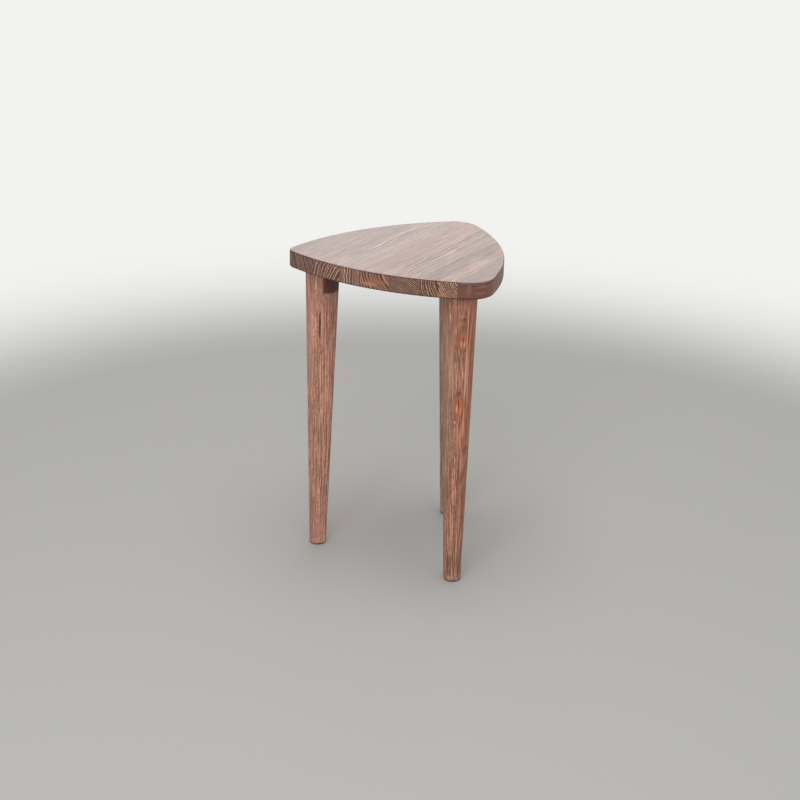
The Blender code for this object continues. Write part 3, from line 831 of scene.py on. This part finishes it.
foot_turns = [math.pi / 2 * i / ROUND_STEPS for i in range(ROUND_STEPS + 1)]
for name, direction in LEG_DIRECTIONS.items():
    node = "leg_" + name
    low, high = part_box(node)
    length = high.z - low.z
    taper = (LEG_HEAD_RADIUS - LEG_FOOT_RADIUS) / length
    foot = []
    for turn in foot_turns:
        rise = LEG_FOOT_ROUND * (1 - math.cos(turn))
        foot.append((LEG_FOOT_RADIUS + taper * rise - LEG_FOOT_ROUND * (1 - math.sin(turn)), rise - length))
    profile = drawn_out([
        (0.0, -length), *foot, (LEG_HEAD_RADIUS - taper * LEG_HEAD_EASE, -LEG_HEAD_EASE),
        (LEG_HEAD_RADIUS - LEG_HEAD_EASE, 0.0), (BORE_RADIUS, 0.0), (BORE_RADIUS, -BORE_DEPTH),
        (0.0, -BORE_DEPTH),
    ], LEG_STEP)
    fir = LEG_WOODS[name]
    run_x, run_y = fir["run_out"]
    lean = -around(direction, math.tan(LEG_SPLAY))
    axis = seats[name] - lean * length / 2
    wood = {**LEG_FINISH, **fir, "centre": (*(axis * PER_METRE), 0.0),
            "grain": (lean[0] + run_x, lean[1] + run_y, 1.0),
            "marks": marks_on_leg(fir["marks"], seats[name], lean, high.z, taper)}
    leg = add_piece("turned_" + node, profile_mesh(node + "_profile", profile))
    material = stained_fir(f"Brushed stained fir, {name} leg", wood)
    run_tree(leg, turned_leg_tree(f"Turned {name} leg", wood),
             {"Sides": LEG_SIDES, "Seat": (*seats[name], high.z), "Lean": (*lean, 0.0),
              "Brush Depth": LEG_BRUSH_DEPTH, "Material": material})
    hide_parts(node)
    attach(leg, "root")


# Hanger bolts and threaded inserts
# Each M8 hanger bolt has a coarse wood screw turned into the leg and a machine screw above the joint. It
# is rolled from steel and zinc plated. It screws into a die-cast zinc insert, which has a coarse thread
# outside, a flange below and a hexagon socket in its mouth, and which is driven into the top's underside.

BOLT_SIDES = 72
THREAD_STEP = 0.00014
BOLT_RADIUS = 0.004
INSERT_RADIUS = 0.00625
FLANGE_RADIUS = 0.008
TAPPED_RADIUS = 0.0043
SOCKET_HALF = 0.0046
# Kinds of stretch in a profile: the thread's pitch and depth, and the half width of a hexagon socket
PLAIN = (1.0, 0.0, 0.0)
SOCKET = (1.0, 0.0, SOCKET_HALF)
WOOD_SCREW = (0.0028, 0.0011, 0.0)
WOOD_SCREW_END = (0.0028, 0.0, 0.0)
MACHINE_SCREW = (0.00125, 0.0007, 0.0)
MACHINE_SCREW_END = (0.00125, 0.0, 0.0)
TAPPED = (0.00125, -0.0002, 0.0)
CAST_SCREW = (0.0032, 0.0009, 0.0)
CAST_SCREW_END = (0.0032, 0.0, 0.0)
HALF_PITCH = 0.5
HALF_FLAT = math.pi / 6
SOCKET_LEAST = 0.004
PLATING_DETAIL = 3.0
CLOUDED = (0.35, 0.65)
CLOUD_ROUGHNESS = 0.12
PITTING_DEPTH = 0.00003
PITTING_STRENGTH = 0.6

# Profiles as radius, height from the joint and kind of stretch
BOLT_PROFILE = drawn_out([
    (0.0, -0.036, *PLAIN), (0.001, -0.036, *WOOD_SCREW_END), (BOLT_RADIUS, -0.028, *WOOD_SCREW),
    (BOLT_RADIUS, -0.0035, *WOOD_SCREW), (BOLT_RADIUS, -0.0025, *WOOD_SCREW_END),
    (BOLT_RADIUS, 0.0008, *MACHINE_SCREW_END), (BOLT_RADIUS, 0.002, *MACHINE_SCREW),
    (BOLT_RADIUS, 0.0168, *MACHINE_SCREW), (BOLT_RADIUS, 0.0172, *MACHINE_SCREW_END),
    (0.0032, 0.018, *PLAIN), (0.0, 0.018, *PLAIN),
], THREAD_STEP)
INSERT_PROFILE = drawn_out([
    (SOCKET_HALF, 0.0, *SOCKET), (FLANGE_RADIUS, 0.0, *PLAIN), (FLANGE_RADIUS, 0.0014, *PLAIN),
    (INSERT_RADIUS, 0.0014, *PLAIN), (INSERT_RADIUS, 0.002, *CAST_SCREW_END),
    (INSERT_RADIUS, 0.0032, *CAST_SCREW), (INSERT_RADIUS, 0.018, *CAST_SCREW),
    (INSERT_RADIUS, 0.0192, *CAST_SCREW_END), (0.00545, 0.02, *PLAIN), (TAPPED_RADIUS, 0.02, *PLAIN),
    (TAPPED_RADIUS, 0.019, *MACHINE_SCREW_END), (TAPPED_RADIUS, 0.018, *TAPPED),
    (TAPPED_RADIUS, 0.006, *TAPPED), (TAPPED_RADIUS, 0.005, *PLAIN),
    (SOCKET_HALF, 0.005, *SOCKET), (SOCKET_HALF, 0.0, *SOCKET),
], THREAD_STEP)


def threaded_tree():
    """Spin a profile, cut its threads and its hexagon socket, and stand it on its seat."""
    tree, given = new_tree("Threaded", {"Sides": "Int", "Seat": "Vector"})
    parts, outward, radius = round_axis(tree)
    turn = add_node(tree, "ShaderNodeMath", (parts["Y"], parts["X"]), "ARCTAN2")
    stored = {key: add_node(tree, "GeometryNodeInputNamedAttribute", {"Name": key}, data_type="FLOAT")
              for key in ("thread_pitch", "thread_depth", "socket_half")}
    climbed = add_node(tree, "ShaderNodeMath", (parts["Z"], stored["thread_pitch"]), "DIVIDE")
    phase = add_node(tree, "ShaderNodeMath", (turn, -1 / math.tau, climbed), "MULTIPLY_ADD")
    valley = add_node(tree, "ShaderNodeMath", (phase, HALF_PITCH), "PINGPONG")
    cut = add_node(tree, "ShaderNodeMath", (valley, stored["thread_depth"]), "MULTIPLY")
    threaded = add_node(tree, "ShaderNodeMath", (cut, -1 / HALF_PITCH), "MULTIPLY")
    from_flat = add_node(tree, "ShaderNodeMath", (turn, HALF_FLAT), "PINGPONG")
    narrowing = add_node(tree, "ShaderNodeMath", (from_flat,), "COSINE")
    wall = add_node(tree, "ShaderNodeMath", (stored["socket_half"], narrowing), "DIVIDE")
    to_wall = add_node(tree, "ShaderNodeMath", (wall, radius), "SUBTRACT")
    has_socket = add_node(tree, "ShaderNodeMath", (stored["socket_half"], SOCKET_LEAST), "GREATER_THAN")
    socketed = add_node(tree, "ShaderNodeMath", (to_wall, has_socket), "MULTIPLY")
    reach = add_node(tree, "ShaderNodeMath", (threaded, socketed), "ADD")
    shift = add_node(tree, "ShaderNodeVectorMath", {0: outward, "Scale": reach}, "SCALE")
    offset = add_node(tree, "ShaderNodeVectorMath", (shift, given["Seat"]), "ADD")
    cut_piece = add_node(tree, "GeometryNodeSetPosition", {"Geometry": spun(tree, given), "Offset": offset})
    return finish_tree(tree, cut_piece, given)


def bare_metal(name, colour, roughness, patch, dulling):
    """A bright metal finish: an even plating, clouded in patches that are duller and a little darker."""
    material, tree, coordinates = new_material(name)
    clouds = add_node(tree, "ShaderNodeTexNoise", {"Vector": coordinates["Object"],
                                                   "Scale": PER_METRE / patch, "Detail": PLATING_DETAIL})
    dull = add_node(tree, "ShaderNodeMapRange", (clouds, *CLOUDED, 0.0, 1.0))
    shade = add_node(tree, "ShaderNodeMapRange", (dull, 0.0, 1.0, 1.0, dulling))
    tint = add_node(tree, "ShaderNodeVectorMath", {0: linear_colour(colour)[:3], "Scale": shade}, "SCALE")
    rough = add_node(tree, "ShaderNodeMapRange", (dull, 0.0, 1.0, roughness, roughness + CLOUD_ROUGHNESS))
    bump = add_node(tree, "ShaderNodeBump",
                    {"Height": clouds, "Distance": PITTING_DEPTH, "Strength": PITTING_STRENGTH})
    set_surface(tree, {"Base Color": tint, "Roughness": rough, "Normal": bump, "Metallic": 1.0})
    return material


# Zinc-plated steel: a cool bright grey with soft clouds. Die-cast zinc: a duller, finely pitted grey.
# Each has its colour, its roughness, the size of its clouds in mm and their brightness
FASTENERS = {
    "hanger_bolt": (
        BOLT_PROFILE, bare_metal("Zinc-plated rolled steel", "#b9b6b0", 0.28, 2.0, 0.88), "bolt_steel"),
    "threaded_insert": (
        INSERT_PROFILE, bare_metal("Die-cast zinc", "#a7a499", 0.42, 0.8, 0.80), "insert_zinc"),
}
threaded = threaded_tree()
for kind, (profile, material, slot) in FASTENERS.items():
    for name in LEG_DIRECTIONS:
        node = f"{kind}_{name}"
        low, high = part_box(node)
        seat_height = high.z - max(point[1] for point in profile)
        fastener = add_piece("threaded_" + node, profile_mesh(
            node + "_profile", profile, ("thread_pitch", "thread_depth", "socket_half")))
        run_tree(fastener, threaded, {"Sides": BOLT_SIDES, "Seat": (*seats[name], seat_height),
                                      "Material": material})
        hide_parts(node)
        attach(fastener, "root")


# Camera, light and floor
# The photograph's view from the front right, in a plain pale studio: a matt floor that keeps the shadow and
# fades into the background, three softboxes, and an even light from all round.

CAMERA_PLACE = (1.24351, -2.25584, 1.22621)
CAMERA_TURN = math.radians(29.5406)
CAMERA_PITCH = math.radians(21.0444)
CAMERA_ROLL = math.radians(1.3337)
CAMERA_LENS = 80.163
SENSOR = 36
CAMERA_REACH = 100
FLOOR_SIZE = 30
FLOOR_DROP = 0.0001
GLOSSY_SHARE = 0.4
FLOOR_COLOUR = "#a3a29f"
FLOOR_ROUGHNESS = 0.7
FLOOR_FADE = (0.9, 1.8)
BACKGROUND_COLOUR = "#f2f2f1"
AMBIENT_COLOUR = "#ffffff"
AMBIENT_STRENGTH = 0.62
# Softboxes: direction round the table and height above it in degrees, distance and width in metres, watts
SOFTBOXES = {"key": (-74, 36, 2.6, 1.3, 25), "overhead": (-60, 84, 2.6, 1.8, 32),
             "back": (119, 27, 2.6, 1.8, 4)}
SOFTBOX_TARGET = (0, 0, 0.3)

view = bpy.data.cameras.new("camera")
view.lens = CAMERA_LENS
view.sensor_width = SENSOR
view.clip_end = CAMERA_REACH
camera = bpy.data.objects.new("camera", view)
bpy.context.scene.collection.objects.link(camera)
turned = (Matrix.Rotation(CAMERA_TURN, 4, "Z") @ Matrix.Rotation(math.pi / 2 - CAMERA_PITCH, 4, "X")
          @ Matrix.Rotation(CAMERA_ROLL, 4, "Z"))
camera.matrix_world = Matrix.Translation(CAMERA_PLACE) @ turned
bpy.context.scene.camera = camera

bm = bmesh.new()
bmesh.ops.create_grid(bm, x_segments=1, y_segments=1, size=FLOOR_SIZE / 2,
                      matrix=Matrix.Translation((0, 0, -FLOOR_DROP)))
floor_mesh = bpy.data.meshes.new("floor")
bm.to_mesh(floor_mesh)
bm.free()
floor = add_piece("floor", floor_mesh)
material, tree, coordinates = new_material("Matt studio floor")
away = add_node(tree, "ShaderNodeVectorMath", (coordinates["Object"],), "LENGTH")
fade = add_node(tree, "ShaderNodeMapRange", (away, *FLOOR_FADE, 0.0, 1.0), **SMOOTH)
tone = add_node(tree, "ShaderNodeMix", (fade, linear_colour(FLOOR_COLOUR), linear_colour(BACKGROUND_COLOUR)),
                data_type="RGBA")
set_surface(tree, {"Base Color": tone, "Roughness": FLOOR_ROUGHNESS})
glow = add_node(tree, "ShaderNodeEmission", {"Color": linear_colour(BACKGROUND_COLOUR)})
path = add_node(tree, "ShaderNodeLightPath").outputs
seen = add_node(tree, "ShaderNodeMath", (path["Is Glossy Ray"], GLOSSY_SHARE, path["Is Camera Ray"]),
                "MULTIPLY_ADD")
seen = add_node(tree, "ShaderNodeMath", (seen, fade), "MULTIPLY")
blend = add_node(tree, "ShaderNodeMixShader", (seen, tree.nodes["Principled BSDF"], glow))
feed(tree, tree.nodes["Material Output"].inputs["Surface"], blend)
floor_mesh.materials.append(material)
floor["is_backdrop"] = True

world = bpy.data.worlds.new("studio")
bpy.context.scene.world = world
world.use_nodes = True
tree = world.node_tree
tree.nodes.clear()
ambient = add_node(tree, "ShaderNodeBackground",
                   {"Color": linear_colour(AMBIENT_COLOUR), "Strength": AMBIENT_STRENGTH})
shown = add_node(tree, "ShaderNodeBackground", {"Color": linear_colour(BACKGROUND_COLOUR)})
path = add_node(tree, "ShaderNodeLightPath").outputs
seen = add_node(tree, "ShaderNodeMath", (path["Is Camera Ray"], path["Is Glossy Ray"]), "MAXIMUM")
blend = add_node(tree, "ShaderNodeMixShader", (seen, ambient, shown))
add_node(tree, "ShaderNodeOutputWorld", {"Surface": blend})

target = Vector(SOFTBOX_TARGET)
for name, (azimuth, height, distance, width, watts) in SOFTBOXES.items():
    lamp = bpy.data.lights.new(name, "AREA")
    lamp.size = width
    lamp.energy = watts
    box = bpy.data.objects.new(name, lamp)
    bpy.context.scene.collection.objects.link(box)
    level = around(math.radians(azimuth), distance * math.cos(math.radians(height)))
    box.location = target + Vector((*level, distance * math.sin(math.radians(height))))
    box.rotation_euler = (target - box.location).to_track_quat("-Z", "Y").to_euler()

bpy.context.scene.view_settings.view_transform = "Standard"

low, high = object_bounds()
